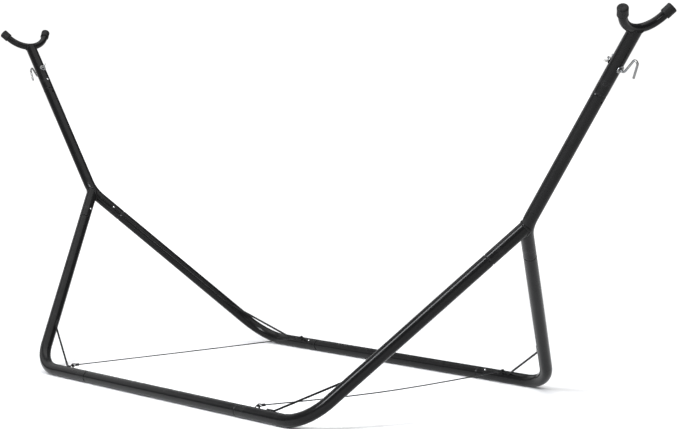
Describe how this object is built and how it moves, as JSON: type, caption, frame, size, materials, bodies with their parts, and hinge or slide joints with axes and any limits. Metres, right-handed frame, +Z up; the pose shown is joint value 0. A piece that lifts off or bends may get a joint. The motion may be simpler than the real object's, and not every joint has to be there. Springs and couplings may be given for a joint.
{
  "type": "hammock stand",
  "caption": "Free-standing steel hammock stand: leaning arms with forked tops and hook bolts on a splayed tube base, corner braces and cross cables.",
  "frame": {"origin": "on the floor under the middle of the stand", "axes": "+X along the stand from the left arm to the right arm, +Y from the front floor tube to the back one, +Z up"},
  "size_m": [3.9394, 1.226, 1.4318],
  "materials": {
    "frame_black": "semi-gloss black powder coat",
    "fitting_black": "satin black",
    "cap_rubber": "moulded black rubber",
    "zinc": "bright zinc plating",
    "button_steel": "polished nickel plating",
    "spring_steel": "bare spring steel",
    "cable_black": "black coated wire rope"
  },
  "bodies": {
    "frame": {"front_floor_tube": "frame_black", "back_floor_tube": "frame_black", "left_arm": "frame_black", "left_front_socket": "frame_black", "left_yoke_sleeve": "frame_black", "left_yoke_saddle": "frame_black", "left_outer_washer": "zinc", "left_inner_washer": "zinc", "left_lock_washer": "zinc", "left_cross_cable": "cable_black", "left_cable_eyes": "cable_black", "left_cable_ferrules": "fitting_black", "left_yoke_button_clip": "spring_steel", "left_leg_button_clips": "spring_steel", "left_front_leg": "frame_black", "left_front_horn_cap": "cap_rubber", "left_front_brace": "frame_black", "left_front_eyelet": "fitting_black", "left_back_leg": "frame_black", "left_back_horn_cap": "cap_rubber", "left_back_brace": "frame_black", "left_back_eyelet": "fitting_black", "right_arm": "frame_black", "right_front_socket": "frame_black", "right_yoke_sleeve": "frame_black", "right_yoke_saddle": "frame_black", "right_outer_washer": "zinc", "right_inner_washer": "zinc", "right_lock_washer": "zinc", "right_cross_cable": "cable_black", "right_cable_eyes": "cable_black", "right_cable_ferrules": "fitting_black", "right_yoke_button_clip": "spring_steel", "right_leg_button_clips": "spring_steel", "right_front_leg": "frame_black", "right_front_horn_cap": "cap_rubber", "right_front_brace": "frame_black", "right_front_eyelet": "fitting_black", "right_back_leg": "frame_black", "right_back_horn_cap": "cap_rubber", "right_back_brace": "frame_black", "right_back_eyelet": "fitting_black"},
    "left_hook": {"left_hook_bolt": "zinc", "left_stop_nut": "zinc"},
    "left_wing": {"left_wing_nut": "zinc"},
    "left_yoke_button_pin": {"left_yoke_button": "button_steel"},
    "left_front_knee_button_pin": {"left_front_knee_button": "button_steel"},
    "left_front_floor_button_pin": {"left_front_floor_button": "button_steel"},
    "left_back_knee_button_pin": {"left_back_knee_button": "button_steel"},
    "left_back_floor_button_pin": {"left_back_floor_button": "button_steel"},
    "right_hook": {"right_hook_bolt": "zinc", "right_stop_nut": "zinc"},
    "right_wing": {"right_wing_nut": "zinc"},
    "right_yoke_button_pin": {"right_yoke_button": "button_steel"},
    "right_front_knee_button_pin": {"right_front_knee_button": "button_steel"},
    "right_front_floor_button_pin": {"right_front_floor_button": "button_steel"},
    "right_back_knee_button_pin": {"right_back_knee_button": "button_steel"},
    "right_back_floor_button_pin": {"right_back_floor_button": "button_steel"}
  },
  "joints": [
    {"name": "left_yoke_button_press", "type": "slide", "parent": "frame", "child": "left_yoke_button_pin", "axis": [-0.7923, 0, -0.6101], "range_m": [0, 0.006], "stiffness_N_per_m": 1500, "springref_m": -0.002, "deforming": ["left_yoke_button_clip"]},
    {"name": "left_front_knee_button_press", "type": "slide", "parent": "frame", "child": "left_front_knee_button_pin", "axis": [-0.8735, -0.3209, -0.3661], "range_m": [0, 0.006], "stiffness_N_per_m": 1500, "springref_m": -0.002, "deforming": ["left_leg_button_clips"]},
    {"name": "left_front_floor_button_press", "type": "slide", "parent": "frame", "child": "left_front_floor_button_pin", "axis": [0, -0.6591, -0.752], "range_m": [0, 0.006], "stiffness_N_per_m": 1500, "springref_m": -0.002, "deforming": ["left_leg_button_clips"]},
    {"name": "left_back_knee_button_press", "type": "slide", "parent": "frame", "child": "left_back_knee_button_pin", "axis": [-0.8735, 0.3209, -0.3661], "range_m": [0, 0.006], "stiffness_N_per_m": 1500, "springref_m": -0.002, "deforming": ["left_leg_button_clips"]},
    {"name": "left_back_floor_button_press", "type": "slide", "parent": "frame", "child": "left_back_floor_button_pin", "axis": [0, 0.6591, -0.752], "range_m": [0, 0.006], "stiffness_N_per_m": 1500, "springref_m": -0.002, "deforming": ["left_leg_button_clips"]},
    {"name": "left_hook_swivel", "type": "hinge", "parent": "frame", "child": "left_hook", "pos_m": [-1.81656, 0, 1.23951], "axis": [-0.7923, 0, -0.6101], "continuous": true},
    {"name": "left_wing_nut_turn", "type": "hinge", "parent": "left_hook", "child": "left_wing", "pos_m": [-1.81656, 0, 1.23951], "axis": [-0.7923, 0, -0.6101], "continuous": true},
    {"name": "right_yoke_button_press", "type": "slide", "parent": "frame", "child": "right_yoke_button_pin", "axis": [0.7923, 0, -0.6101], "range_m": [0, 0.006], "stiffness_N_per_m": 1500, "springref_m": -0.002, "deforming": ["right_yoke_button_clip"]},
    {"name": "right_front_knee_button_press", "type": "slide", "parent": "frame", "child": "right_front_knee_button_pin", "axis": [0.8735, -0.3209, -0.3661], "range_m": [0, 0.006], "stiffness_N_per_m": 1500, "springref_m": -0.002, "deforming": ["right_leg_button_clips"]},
    {"name": "right_front_floor_button_press", "type": "slide", "parent": "frame", "child": "right_front_floor_button_pin", "axis": [0, -0.6591, -0.752], "range_m": [0, 0.006], "stiffness_N_per_m": 1500, "springref_m": -0.002, "deforming": ["right_leg_button_clips"]},
    {"name": "right_back_knee_button_press", "type": "slide", "parent": "frame", "child": "right_back_knee_button_pin", "axis": [0.8735, 0.3209, -0.3661], "range_m": [0, 0.006], "stiffness_N_per_m": 1500, "springref_m": -0.002, "deforming": ["right_leg_button_clips"]},
    {"name": "right_back_floor_button_press", "type": "slide", "parent": "frame", "child": "right_back_floor_button_pin", "axis": [0, 0.6591, -0.752], "range_m": [0, 0.006], "stiffness_N_per_m": 1500, "springref_m": -0.002, "deforming": ["right_leg_button_clips"]},
    {"name": "right_hook_swivel", "type": "hinge", "parent": "frame", "child": "right_hook", "pos_m": [1.81656, 0, 1.23951], "axis": [0.7923, 0, -0.6101], "continuous": true},
    {"name": "right_wing_nut_turn", "type": "hinge", "parent": "right_hook", "child": "right_wing", "pos_m": [1.81656, 0, 1.23951], "axis": [0.7923, 0, -0.6101], "continuous": true}
  ]
}
